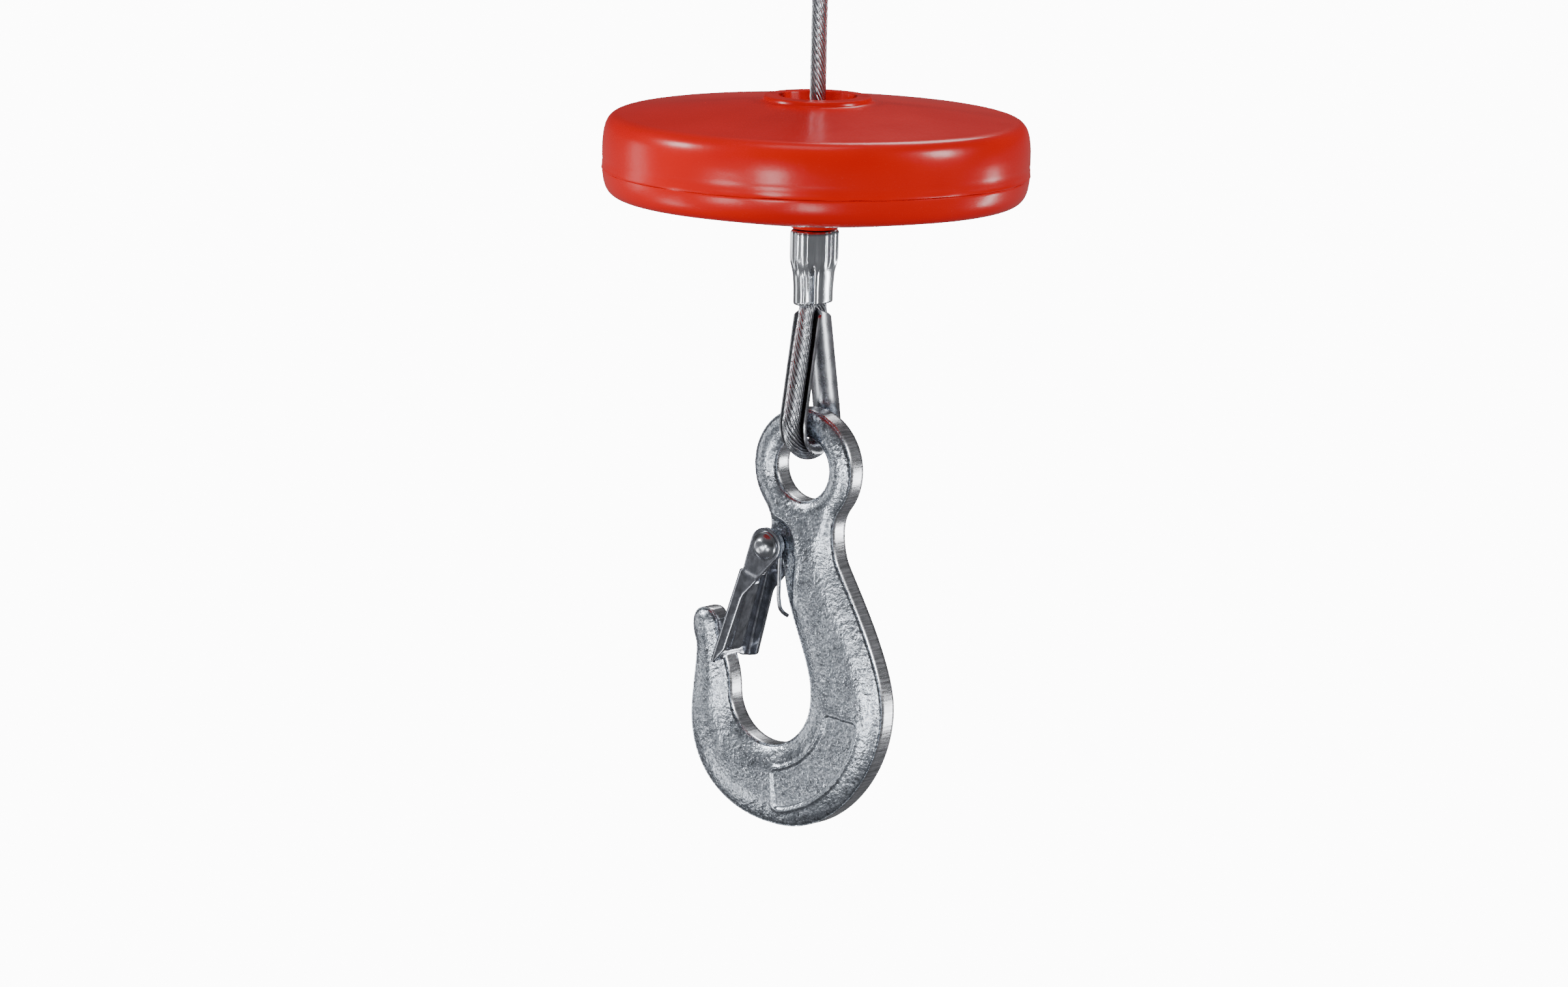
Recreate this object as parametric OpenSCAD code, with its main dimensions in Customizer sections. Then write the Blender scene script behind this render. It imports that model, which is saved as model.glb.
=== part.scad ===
// Load hook with a safety latch on the looped end of a thin wire rope, and the round stop weight
// that rides on the rope above it. Millimetres, +Z up. The origin is on the rope's axis, at the
// load shoulder of the swaged stop that carries everything. The hook lies in the XZ plane, with its
// throat towards -X, and the rope's loop lies in the YZ plane.

/* [Wire rope] */
// Diameter of the wire rope
rope_d = 4; // [3.6:0.2:4]
// Diameter of the swaged stop at the rope's upper end
stop_d = 8; // [7:0.5:9]
// Length of the swaged stop
stop_l = 12; // [10:1:16]

/* [Ferrule and thimble] */
// Length of the pressed ferrule
ferrule_l = 18.4; // [16:0.1:18.4]
// Length of the wider upper part of the ferrule
ferrule_wide_l = 9; // [8:0.5:13]
// Thickness of the thimble's sheet
thimble_t = 1; // [0.8:0.1:1]
// How far the thimble's flanges stand past the middle of the rope
thimble_flange = 1.6; // [1:0.1:1.8]

/* [Hook] */
// Outer radius of the eye
eye_r = 14.9; // [14.5:0.1:15.5]
// Radius of the hole in the eye
eye_hole_r = 8; // [8:0.1:8.4]
// Thickness of the trimmed edge all round the hook
edge_t = 5; // [4.6:0.2:5]
// Thickness of the hook's body
hook_t = 8.2; // [7.6:0.2:8.4]
// Thickness of the eye
eye_t = 7.4; // [7:0.2:7.4]
// Radius of the inside of the bowl
bowl_r = 12.4; // [12.2:0.1:12.5]

/* [Latch] */
// Thickness of the latch's sheet
latch_t = 1; // [0.8:0.1:1]
// Length of the latch below its rivet
latch_l = 34; // [33.5:0.1:34.5]
// Radius of the ears round the rivet
ear_r = 4.6; // [4.4:0.1:4.8]
// Width of the latch across its ears
ear_w = 12.4; // [12.4:0.1:12.6]
// Width of the latch at its lower end
latch_tip_w = 16; // [15.4:0.2:16]
// Radius of the rivet's shank
rivet_r = 2; // [1.8:0.1:2]
// Radius of the rivet's domed heads
rivet_head_r = 3.7; // [3.4:0.1:3.9]
// Diameter of the spring's wire
wire_d = 1; // [0.8:0.1:1]

/* [Stop weight] */
// Diameter of the stop weight
disc_d = 105; // [104:0.5:108]
// Height of the joint between its two shells, above the weight's lowest point
joint_h = 14; // [13.5:0.1:14.5]
// Height of the flat face on top of the collar
disc_h = 32.8; // [32.4:0.1:33.2]
// Outer radius of the collar
collar_r = 13.4; // [13:0.1:14]
// Radius of the opening in the collar
mouth_r = 9.4; // [9:0.1:9.6]
// Wall thickness of the shells
shell_t = 2.2; // [2:0.1:2.4]
// Inner radius of the ballast ring
ballast_inner_r = 15; // [12:0.5:18]
// Outer radius of the ballast ring
ballast_outer_r = 43; // [40:0.5:44]
// Number of screws that hold the shells together
screw_count = 3; // [3:1:4]

/* [Hidden] */
$fn = 72;
rope_r = rope_d / 2;
// How far one solid runs into another so that the two join cleanly.
over = 0.01;

// Heights of the main stations below the origin.
eye_z = -122;
loop_z = -118;
ferrule_z = -81.1;
disc_z = -62.5;

// The rope's loop: radius of its bend, and where its two legs come together.
loop_r = 7.6;
loop_mid_z = loop_z + loop_r;
leg_tip_y = 2.4;
leg_tip_z = -82.4;
leg_rise = leg_tip_z - loop_mid_z;
leg_reach = norm([leg_tip_y, leg_rise]);
leg_lean = 90 - atan2(leg_tip_y, leg_rise) - acos(loop_r / leg_reach);
leg_l = sqrt(leg_reach * leg_reach - loop_r * loop_r);

// Half of the rope's route, in the YZ plane: the loaded line down to the lowest point of the loop.
loaded_side = [
    [0, 8], [0, -2], [0, -12], [0, -22], [0, -32], [0, -42], [0, -52], [0, -62],
    [0.9, -65], [1.8, -68], [2.1, -71], [2.1, -76], [2.1, -81], [2.4, -82.4],
    [3.4, -87.6], [4.4, -92.9], [5.4, -98.1], [6.4, -103.4], [7.2, -107.6],
    [7.6, -110.4], [7, -113.3], [5.4, -115.8], [2.9, -117.4], [0, -118]
];
// The other half, up to the dead end inside the ferrule.
dead_side = [
    [-2.9, -117.4], [-5.4, -115.8], [-7, -113.3], [-7.6, -110.4],
    [-7.2, -107.6], [-6.4, -103.4], [-5.4, -98.1], [-4.4, -92.9], [-3.4, -87.6],
    [-2.4, -82.4], [-2.1, -81], [-2.1, -76], [-2.1, -71], [-2.1, -68.6]
];
rope_route = concat(loaded_side, dead_side);
rope_sides = 8;

// Thimble: inside radius of the groove, and outside radius of the sheet.
groove_r = rope_r + 0.1;
gutter_r = groove_r + thimble_t;

// Hook, measured from the middle of the eye.
bowl_x = -8.6;
bowl_z = -57.8;
rivet_x = -8.25;
rivet_z = -19.9;
lug_r = 3.9;
shoulder = 1.6;
recess_r = 6.3;

// Latch, in its own frame: X across the throat, -Z down the latch from the rivet.
latch_lean = 16.8;
web_x = -6.2;
joggle_z = -8.6;
splay = atan((latch_tip_w - ear_w) / 2 / (latch_l + joggle_z));
bead_w = 9.6;
coil_r = 3.1;
coil_gap = 0.15;
spring_bar_z = -14;

// Stop weight, measured up from its lowest point.
bush_r = 3.5;
bush_bore_r = rope_r + 0.3;
bush_top = 21;
bush_flange_r = 4.8;
boss_r = 5.9;
hub_r = 6.2;
hub_top = 20.3;
ballast_low = 9;
ballast_high = 18;
screw_pitch_r = 29;
post_r = 4.2;
screw_r = 1.6;
head_seat = 9;

// Points along part of a circle, from angle a0 to angle a1, both included.
function arc(x, z, r, a0, a1, steps) = [
    for (i = [0 : steps]) let (a = a0 + (a1 - a0) * i / steps) [x + r * cos(a), z + r * sin(a)]
];

// Points along a curve with two handles, with its first point left out.
function curve(p0, p1, p2, p3, steps) = [
    for (i = [1 : steps]) let (t = i / steps, s = 1 - t)
        s * s * s * p0 + 3 * s * s * t * p1 + 3 * s * t * t * p2 + t * t * t * p3
];

// A closed outline that runs clockwise, moved inwards by d.
function unit(v) = v / norm(v);
function inset(outline, d) = [
    for (i = [0 : len(outline) - 1])
        let (
            n = len(outline),
            before = unit(outline[i] - outline[(i + n - 1) % n]),
            after = unit(outline[(i + 1) % n] - outline[i]),
            side = unit([before[1] + after[1], -before[0] - after[0]])
        )
        outline[i] + d * side
];

// The hook's edge, clockwise from the left of the neck: over the eye, down the back, round the
// bowl to the tip, and back up the throat to the lug that holds the rivet.
neck_a = 38;
hook_outline = concat(
    arc(0, 0, eye_r, 180 + neck_a, -neck_a, 32),
    curve([11.74, -9.17], [8.7, -12.8], [9.6, -18.4], [11, -22.5], 6),
    curve([11, -22.5], [13.2, -27], [26.2, -46.5], [26.1, -58], 10),
    curve([26.1, -58], [26.1, -74.5], [12, -90.2], [-3.5, -90.2], 14),
    curve([-3.5, -90.2], [-20.5, -90.2], [-33.1, -80.5], [-33.1, -65], 14),
    curve([-33.1, -65], [-33.1, -59], [-31.9, -54], [-31.9, -48.5], 5),
    curve([-31.9, -48.5], [-31.9, -46.5], [-33.1, -45.5], [-33.1, -42.6], 4),
    curve([-33.1, -42.6], [-33.1, -40.2], [-31.8, -38.4], [-29.6, -38.4], 4),
    [[-27.2, -38.9], [-25.4, -41.6]],
    curve([-25.4, -41.6], [-25.2, -46], [-21.2, -51], [-21, -57.8], 8),
    arc(bowl_x, bowl_z, bowl_r - 0.3, 188, 352, 16),
    curve([3.8, -57.8], [4.6, -48], [-3.6, -38.5], [-5, -26.5], 8),
    arc(rivet_x, rivet_z, lug_r, -50, -250, 12),
    curve([-9.6, -16.2], [-8.9, -14.3], [-9.7, -12], [-11.5, -9.5], 4)
);

module rope_ring_tube(route, r) {
    count = len(route);
    heading = [
        for (i = [0 : count - 1])
            unit(route[min(i + 1, count - 1)] - route[max(i - 1, 0)])
    ];
    points = [
        for (i = [0 : count - 1]) for (k = [0 : rope_sides - 1])
            let (a = 360 * (k + 0.5) / rope_sides, out = r * cos(a))
            [r * sin(a), route[i][0] - out * heading[i][1], route[i][1] + out * heading[i][0]]
    ];
    sides = [
        for (i = [0 : count - 2]) for (k = [0 : rope_sides - 1])
            let (next = (k + 1) % rope_sides, a = i * rope_sides, b = a + rope_sides)
            [a + k, b + k, b + next, a + next]
    ];
    first = [for (k = [0 : rope_sides - 1]) k];
    last = [for (k = [rope_sides - 1 : -1 : 0]) (count - 1) * rope_sides + k];
    polyhedron(points, concat([first], sides, [last]));
}

module wire_rope() {
    color("dimgray") rope_ring_tube(rope_route, rope_r);
}

module drum_stop() {
    color("silver") cylinder(h = stop_l, d = stop_d);
}

// Two round channels pressed into one oval sleeve.
module oval(r, apart) {
    for (side = [-1, 1]) translate([0, side * apart]) circle(r);
    square([2 * r, 2 * apart], center = true);
}

module rope_ferrule() {
    narrow_l = ferrule_l - ferrule_wide_l;
    color("lightgray") translate([0, 0, ferrule_z]) {
        linear_extrude(narrow_l + over) oval(4, 1.4);
        translate([0, 0, narrow_l]) linear_extrude(ferrule_wide_l) oval(4.85, 1.6);
    }
}

// Section of the thimble: a half-round groove with straight flanges, open towards +X.
module gutter() {
    difference() {
        intersection() {
            union() {
                circle(gutter_r);
                translate([0, -gutter_r]) square([thimble_flange, 2 * gutter_r]);
            }
            translate([-gutter_r, -gutter_r])
                square([gutter_r + thimble_flange, 2 * gutter_r]);
        }
        circle(groove_r);
        translate([0, -groove_r]) square([2 * gutter_r, 2 * groove_r]);
    }
}

module thimble_leg() {
    rotate([0, 0, leg_lean]) translate([loop_r, 0, 0]) rotate([-90, 0, 0])
        linear_extrude(leg_l) gutter();
}

module thimble() {
    color("silver") translate([0, 0, loop_mid_z]) rotate([90, 0, 90]) {
        rotate([0, 0, 180 - leg_lean]) rotate_extrude(angle = 180 + 2 * leg_lean)
            translate([loop_r, 0]) gutter();
        thimble_leg();
        mirror([1, 0, 0]) thimble_leg();
    }
}

module guide_bush() {
    color("dimgray") translate([0, 0, disc_z]) difference() {
        union() {
            translate([0, 0, -0.1]) cylinder(h = 1.3, r = bush_flange_r);
            cylinder(h = bush_top, r = bush_r);
        }
        translate([0, 0, -1]) cylinder(h = bush_top + 2, r = bush_bore_r);
    }
}

// Heights of the shells' outer surface at a radius: the shallow cones below and above.
wall_r = disc_d / 2;
function floor_h(r) = 1.1 + (r - boss_r) * 0.144;
function roof_h(r) = 31.4 - (r - collar_r) * 0.107;

// Outside of the rim below the joint and above it, from the axis outwards and upwards.
lower_rim = concat(
    [[boss_r, 0], [boss_r, floor_h(boss_r)]],
    curve([wall_r - 4.5, floor_h(wall_r - 4.5)], [wall_r - 1.7, floor_h(wall_r - 1.7)],
        [wall_r - 0.5, 9.2], [wall_r, 13.7], 8)
);
upper_rim = concat(
    [[wall_r, 20.3]],
    curve([wall_r, 20.3], [wall_r - 0.3, 24.7], [wall_r - 1.5, roof_h(wall_r - 1.5)],
        [wall_r - 4.5, roof_h(wall_r - 4.5)], 8)
);

module screw_places() {
    for (i = [0 : screw_count - 1])
        rotate([0, 0, 30 + 360 * i / screw_count]) translate([screw_pitch_r, 0, 0]) children();
}

module ring(inner, outer, low, high) {
    translate([0, 0, low]) difference() {
        cylinder(h = high - low, r = outer);
        translate([0, 0, -1]) cylinder(h = high - low + 2, r = inner);
    }
}

module lower_shell() {
    inner_r = wall_r - shell_t;
    color([0.85, 0.1, 0.07]) translate([0, 0, disc_z]) difference() {
        union() {
            rotate_extrude($fn = 120) polygon(concat(
                [[bush_r + 0.06, 0]], lower_rim, [[wall_r, joint_h], [inner_r, joint_h]],
                [[inner_r - 0.4, 11], [inner_r - 3.6, floor_h(inner_r - 3.6) + shell_t]],
                [[hub_r, floor_h(hub_r) + shell_t], [hub_r, hub_top], [bush_r + 0.06, hub_top]]
            ));
            ring(inner_r - 1.6, inner_r - 0.1, 10, joint_h + 2);
            ring(20, 22, floor_h(22) + 1, ballast_low);
            ring(40, 42, floor_h(42) + 1, ballast_low);
            screw_places() translate([0, 0, floor_h(screw_pitch_r + post_r) + 0.4])
                cylinder(h = ballast_high - floor_h(screw_pitch_r + post_r) - 0.4, r = post_r);
        }
        translate([0, 0, -1]) cylinder(h = 2.3, r = bush_flange_r + 0.15);
        screw_places() {
            cylinder(h = head_seat, r = 3.3);
            cylinder(h = ballast_high + 1, r = screw_r + 0.2);
        }
    }
}

module upper_shell() {
    inner_r = wall_r - shell_t;
    color([0.87, 0.11, 0.08]) translate([0, 0, disc_z]) difference() {
        union() {
            rotate_extrude($fn = 120) polygon(concat(
                [[wall_r, joint_h]], upper_rim,
                [[collar_r, roof_h(collar_r)], [collar_r, disc_h - 0.4], [collar_r - 0.4, disc_h]],
                [[mouth_r, disc_h], [mouth_r - 0.6, 28], [6.6, 22.6], [4.4, hub_top]],
                [[hub_r, hub_top], [8.6, 22.6], [mouth_r + 1.6, roof_h(collar_r) - shell_t]],
                [[wall_r - 7, roof_h(wall_r - 7) - shell_t], [inner_r - 1.2, 24.4], [inner_r, 20]],
                [[inner_r, joint_h]]
            ));
            ring(20, 22, ballast_high, roof_h(22) - 1);
            screw_places() translate([0, 0, ballast_high])
                cylinder(h = roof_h(screw_pitch_r + post_r) - ballast_high - 0.6, r = post_r);
        }
        screw_places() translate([0, 0, ballast_high - 1]) cylinder(h = 9.5, r = screw_r - 0.2);
    }
}

module ballast_ring() {
    color("gray") translate([0, 0, disc_z]) difference() {
        ring(ballast_inner_r, ballast_outer_r, ballast_low, ballast_high);
        screw_places() cylinder(h = ballast_high + 1, r = post_r + 0.4);
    }
}

module shell_screws() {
    color("silver") translate([0, 0, disc_z]) screw_places() {
        difference() {
            translate([0, 0, head_seat - 2.2]) cylinder(h = 2.2, r = 3);
            cube([4, 0.8, 2 * (head_seat - 1.2)], center = true);
            cube([0.8, 4, 2 * (head_seat - 1.2)], center = true);
        }
        translate([0, 0, head_seat - over]) cylinder(h = 16, r = screw_r);
    }
}

// Puts a flat outline in XZ and thickens it evenly either side of the XZ plane.
module plate(thickness) {
    rotate([90, 0, 0]) linear_extrude(thickness, center = true) children();
}

module rivet_axis(length, r) {
    translate([rivet_x, 0, rivet_z]) rotate([90, 0, 0])
        cylinder(h = length, r = r, center = true);
}

// The seat beside the lug where the latch's ears and the spring's coils lie.
module latch_recess() {
    for (side = [-1, 1])
        translate([rivet_x, side * (edge_t / 2 + 2.5), rivet_z]) rotate([90, 0, 0]) {
            cylinder(h = 5, r = recess_r, center = true);
            rotate([0, 0, -82]) translate([0, -recess_r, -2.5]) cube([13, recess_r + 3, 5]);
        }
}

module hook_body() {
    color("darkgray") translate([0, 0, eye_z]) difference() {
        union() {
            plate(edge_t) polygon(hook_outline);
            difference() {
                plate(hook_t) polygon(inset(hook_outline, shoulder));
                translate([-20, -10, -9]) cube([40, 20, 30]);
                translate([bowl_x, 0, bowl_z]) rotate([90, 0, 0])
                    cylinder(h = 20, r = bowl_r + shoulder, center = true);
                latch_recess();
            }
            rotate([90, 0, 0]) cylinder(h = eye_t, r = eye_r - shoulder, center = true);
        }
        rotate([90, 0, 0]) cylinder(h = 20, r = eye_hole_r, center = true);
        for (side = [0, 180]) rotate([90 + side, 0, 0]) translate([0, 0, edge_t / 2])
            cylinder(h = 1.3, r1 = eye_hole_r, r2 = eye_hole_r + 2);
        translate([bowl_x, 0, bowl_z]) rotate([90, 0, 0])
            cylinder(h = 20, r = bowl_r, center = true);
        rivet_axis(20, rivet_r);
    }
}

module latch_rivet() {
    head_y = ear_w / 2 + 0.1;
    dome_h = 1.9;
    dome_r = (rivet_head_r * rivet_head_r + dome_h * dome_h) / (2 * dome_h);
    color("slategray") translate([0, 0, eye_z]) {
        rivet_axis(2 * head_y + over, rivet_r);
        for (turn = [90, -90])
            translate([rivet_x, 0, rivet_z]) rotate([turn, 0, 0]) intersection() {
                translate([0, 0, head_y]) cylinder(h = dome_h, r = rivet_head_r);
                translate([0, 0, head_y + dome_h - dome_r]) sphere(dome_r);
            }
    }
}

module latch_frame() {
    translate([rivet_x, 0, eye_z + rivet_z]) rotate([0, latch_lean, 0]) children();
}

module ear() {
    plate(latch_t) {
        circle(ear_r);
        polygon([[-ear_r, 0], [web_x, joggle_z], [0.4, joggle_z], [4.4, -1.2]]);
    }
}

// One side of the channel. The corner of its lower edge is cut back by the given amount.
module flange(cut) {
    plate(latch_t) polygon([
        [web_x, joggle_z + 0.3], [0.3, joggle_z + 0.3], [-2.4, -14.4], [-2.7, cut - latch_l],
        [-3.4, 0.7 * cut - latch_l], [web_x, -latch_l]
    ]);
}

module latch_plate() {
    side_y = (ear_w - latch_t) / 2;
    web_top = joggle_z - 0.4;
    bead_top = joggle_z - 3;
    bead_low = -32;
    color("slategray") latch_frame() difference() {
        union() {
            for (side = [-1, 1]) {
                translate([0, side * side_y, 0]) ear();
                translate([0, side * side_y, joggle_z]) rotate([side * splay, 0, 0])
                    translate([0, 0, -joggle_z]) flange(side < 0 ? 4.6 : 1.2);
            }
            translate([web_x, 0, 0]) rotate([90, 0, 90]) linear_extrude(latch_t) polygon([
                [-ear_w / 2, web_top], [-latch_tip_w / 2, -latch_l + 0.4],
                [-bead_w / 2, -latch_l + 0.4], [-bead_w / 2, bead_low],
                [bead_w / 2, bead_low], [bead_w / 2, -latch_l + 0.4],
                [latch_tip_w / 2, -latch_l + 0.4], [ear_w / 2, web_top]
            ]);
            translate([web_x + latch_t, -bead_w / 2 - 0.6, bead_low])
                cube([latch_t + 0.2, bead_w + 1.2, bead_top - bead_low]);
        }
        translate([web_x - 1, -bead_w / 2, -latch_l - 1])
            cube([1 + latch_t + 0.2, bead_w, bead_top - 1 + latch_l + 1]);
        rotate([90, 0, 0]) cylinder(h = 20, r = rivet_r + 0.08, center = true);
    }
}

// A straight piece of wire with a ball at its far end.
module wire(from, to) {
    along = to - from;
    translate(from) rotate([0, acos(along[2] / norm(along)), atan2(along[1], along[0])])
        cylinder(h = norm(along), d = wire_d, $fn = 24);
    translate(to) sphere(d = wire_d + 0.04, $fn = 24);
}

module latch_spring() {
    inner_y = edge_t / 2 + coil_gap + wire_d / 2;
    outer_y = inner_y + 0.9 * wire_d;
    color("gray") for (side = [-1, 1]) {
        translate([rivet_x, 0, eye_z + rivet_z]) {
            for (y = [inner_y, outer_y]) translate([0, side * y, 0]) rotate([90, 0, 0])
                rotate_extrude() translate([coil_r, 0]) circle(d = wire_d, $fn = 24);
            wire([coil_r, side * outer_y, 0], [coil_r, side * outer_y, -15.2]);
            wire([coil_r, side * outer_y, -15.2], [coil_r + 0.6, side * 1.8, -17.4]);
        }
        latch_frame() {
            wire([-coil_r, side * inner_y, 0], [web_x + 2.9, side * inner_y, spring_bar_z]);
            wire([web_x + 2.9, side * inner_y, spring_bar_z], [web_x + 2.9, 0, spring_bar_z]);
        }
    }
}

wire_rope();
drum_stop();
rope_ferrule();
thimble();
guide_bush();
lower_shell();
upper_shell();
ballast_ring();
shell_screws();
hook_body();
latch_rivet();
latch_plate();
latch_spring();
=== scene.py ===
"""Looks for the load hook and its stop weight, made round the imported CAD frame.

Shapes are worked out in millimetres in the row frame and stored in metres.
"""
import math

import bmesh
import bpy
import numpy as np
from mathutils import Matrix, Vector, noise
from mathutils.geometry import delaunay_2d_cdt


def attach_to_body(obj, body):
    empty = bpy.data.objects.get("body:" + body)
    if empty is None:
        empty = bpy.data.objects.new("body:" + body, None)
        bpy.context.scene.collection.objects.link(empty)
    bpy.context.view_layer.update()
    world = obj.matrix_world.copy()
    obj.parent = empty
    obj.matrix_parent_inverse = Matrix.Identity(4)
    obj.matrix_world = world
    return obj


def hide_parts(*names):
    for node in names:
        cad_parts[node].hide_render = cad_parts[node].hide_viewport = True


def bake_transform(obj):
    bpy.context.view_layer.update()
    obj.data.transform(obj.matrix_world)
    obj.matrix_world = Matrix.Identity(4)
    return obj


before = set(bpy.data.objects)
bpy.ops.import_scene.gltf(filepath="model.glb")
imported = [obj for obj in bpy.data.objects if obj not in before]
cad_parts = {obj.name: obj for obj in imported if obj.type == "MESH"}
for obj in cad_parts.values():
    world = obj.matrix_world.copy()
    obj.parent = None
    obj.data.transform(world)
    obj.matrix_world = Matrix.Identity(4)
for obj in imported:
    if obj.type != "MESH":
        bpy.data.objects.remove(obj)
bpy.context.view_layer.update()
MM = 0.001

# Heights on the rope's axis, in millimetres, as in the CAD.
EYE_Z = -122.0
FERRULE_Z = -81.1
DISC_Z = -62.5


# ---------------------------------------------------- small tools

def smooth(a, b, x):
    """0 at a, 1 at b, with an easy start and finish."""
    t = np.clip((np.asarray(x, float) - a) / (b - a), 0, 1)
    return t * t * (3 - 2 * t)


def aim(azimuth, elevation):
    """The unit direction at an azimuth from the front and an elevation, in degrees."""
    az, el = math.radians(azimuth), math.radians(elevation)
    return Vector((math.sin(az) * math.cos(el), -math.cos(az) * math.cos(el), math.sin(el)))


def arc(x, z, r, a0, a1, steps):
    """Points on a circle's arc, between two angles in degrees."""
    a = np.radians(np.linspace(a0, a1, steps + 1))
    return np.stack([x + r * np.cos(a), z + r * np.sin(a)], -1)


def curve(p0, p1, p2, p3, steps):
    """A cubic curve with its first point left out."""
    t = np.linspace(0, 1, steps + 1)[1:, None]
    s = 1 - t
    p0, p1, p2, p3 = (np.array(p, float) for p in (p0, p1, p2, p3))
    return s ** 3 * p0 + 3 * s * s * t * p1 + 3 * s * t * t * p2 + t ** 3 * p3


def resample(points, step, closed=False):
    """The same line with points an even distance apart."""
    p = np.asarray(points, float)
    if closed:
        p = np.vstack([p, p[:1]])
    along = np.concatenate([[0], np.cumsum(np.linalg.norm(np.diff(p, axis=0), axis=1))])
    count = max(2, int(round(along[-1] / step)))
    at = np.linspace(0, along[-1], count + 1)
    q = np.stack([np.interp(at, along, p[:, k]) for k in range(p.shape[1])], -1)
    return q[:-1] if closed else q


def spline(points, step):
    """A smooth line through the points, sampled evenly."""
    p = np.asarray(points, float)
    p = np.vstack([2 * p[0] - p[1], p, 2 * p[-1] - p[-2]])
    out = []
    for a, b, c, d in zip(p[:-3], p[1:-2], p[2:-1], p[3:]):
        lens = [max(np.linalg.norm(v - u), 1e-6) for u, v in ((a, b), (b, c), (c, d))]
        into = (b - a) / lens[0] - (c - a) / (lens[0] + lens[1]) + (c - b) / lens[1]
        away = (c - b) / lens[1] - (d - b) / (lens[1] + lens[2]) + (d - c) / lens[2]
        for t in np.linspace(0, 1, 12, endpoint=False):
            out.append((2 * t ** 3 - 3 * t * t + 1) * b + (t ** 3 - 2 * t * t + t) * into * lens[1]
                       + (3 * t * t - 2 * t ** 3) * c + (t ** 3 - t * t) * away * lens[1])
    out.append(p[-2])
    return resample(out, step)


def fuzz(points, size):
    """Smooth noise from -1 to 1 at each point, with features of the given size."""
    return np.array([noise.noise(Vector(p) / size) for p in points])


def attach(obj, body, node):
    """Makes a piece ride on a body and stand for a CAD node."""
    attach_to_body(obj, body)
    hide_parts(node)


def outward(mesh):
    """Turns a mesh's faces to look outwards."""
    bm = bmesh.new()
    bm.from_mesh(mesh)
    bmesh.ops.recalc_face_normals(bm, faces=bm.faces)
    bm.to_mesh(mesh)
    bm.free()


def soften(mesh, angle):
    """Smooth shading with sharp edges past an angle in degrees."""
    mesh.shade_smooth()
    mesh.set_sharp_from_angle(angle=math.radians(angle))


def piece(name, verts, faces, materials, angle=35, marks=None):
    """A mesh object in the row frame, from millimetres. marks gives each face's material."""
    mesh = bpy.data.meshes.new(name)
    mesh.from_pydata((np.asarray(verts) * MM).tolist(), [], [list(f) for f in faces])
    mesh.validate()
    outward(mesh)
    for material in materials:
        mesh.materials.append(material)
    if marks is not None:
        mesh.polygons.foreach_set("material_index", np.asarray(marks, np.int32))
    soften(mesh, angle)
    obj = bpy.data.objects.new(name, mesh)
    bpy.context.scene.collection.objects.link(obj)
    return obj


def apply_modifiers(obj):
    """Puts the result of an object's modifiers into its mesh."""
    bpy.context.view_layer.update()
    shown = obj.evaluated_get(bpy.context.evaluated_depsgraph_get())
    made = bpy.data.meshes.new_from_object(shown)
    obj.modifiers.clear()
    obj.data = made


def lattice(count, wide, closed=False):
    """Quads over rows of points. Each row is a ring, and closed joins the last row to the first."""
    faces = []
    for i in range(count if closed else count - 1):
        a = i * wide
        b = (i + 1) % count * wide
        for k in range(wide):
            n = (k + 1) % wide
            faces.append((a + k, a + n, b + n, b + k))
    return faces


def capped(count, wide):
    """Quads over rows of points, with a face across the first ring and the last."""
    end = count * wide
    return lattice(count, wide) + [tuple(range(wide)), tuple(range(end - wide, end))]


def lathe(profile, steps, wobble=None):
    """Turns a closed profile of (radius, height) points round Z."""
    prof = np.asarray(profile, float)
    a = np.linspace(0, 2 * math.pi, steps, endpoint=False)
    r = np.repeat(prof[None, :, 0], steps, 0)
    z = np.repeat(prof[None, :, 1], steps, 0)
    if wobble is not None:
        dr, dz = wobble(a[:, None], r, z)
        r, z = r + dr, z + dz
    verts = np.stack([r * np.cos(a)[:, None], r * np.sin(a)[:, None], z], -1).reshape(-1, 3)
    return verts, lattice(steps, len(prof), True)


def round_corners(points, radii, steps=4):
    """A closed profile with its corners rounded by the given radii."""
    p = [np.array(q, float) for q in points]
    out = []
    for i, q in enumerate(p):
        r = radii[i] if isinstance(radii, (list, tuple)) else radii
        u, v = p[i - 1] - q, p[(i + 1) % len(p)] - q
        lu, lv = np.linalg.norm(u), np.linalg.norm(v)
        r = min(r, 0.45 * lu, 0.45 * lv)
        if r < 1e-4:
            out.append(q)
            continue
        a, b = q + u / lu * r, q + v / lv * r
        for t in np.linspace(0, 1, steps + 1):
            out.append((1 - t) ** 2 * a + 2 * t * (1 - t) * q + t * t * b)
    return np.array(out)


def inside(points, loop):
    """Which points lie inside a closed loop."""
    x, z = points[:, 0][:, None], points[:, 1][:, None]
    a, b = loop, np.roll(loop, -1, 0)
    cross = (a[:, 1] > z) != (b[:, 1] > z)
    at = (b[:, 0] - a[:, 0]) * (z - a[:, 1]) / (b[:, 1] - a[:, 1] + 1e-12) + a[:, 0]
    return (cross & (x < at)).sum(1) % 2 == 1


def distance(points, loop):
    """Distance from each point to the nearest edge of a closed loop."""
    a, b = loop, np.roll(loop, -1, 0)
    ab = b - a
    best = np.full(len(points), 1e9)
    for i in range(0, len(points), 2000):
        p = points[i:i + 2000, None, :]
        t = np.clip(((p - a) * ab).sum(-1) / ((ab * ab).sum(-1) + 1e-12), 0, 1)
        best[i:i + 2000] = np.linalg.norm(p - (a + t[..., None] * ab), axis=-1).min(1)
    return best


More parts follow.
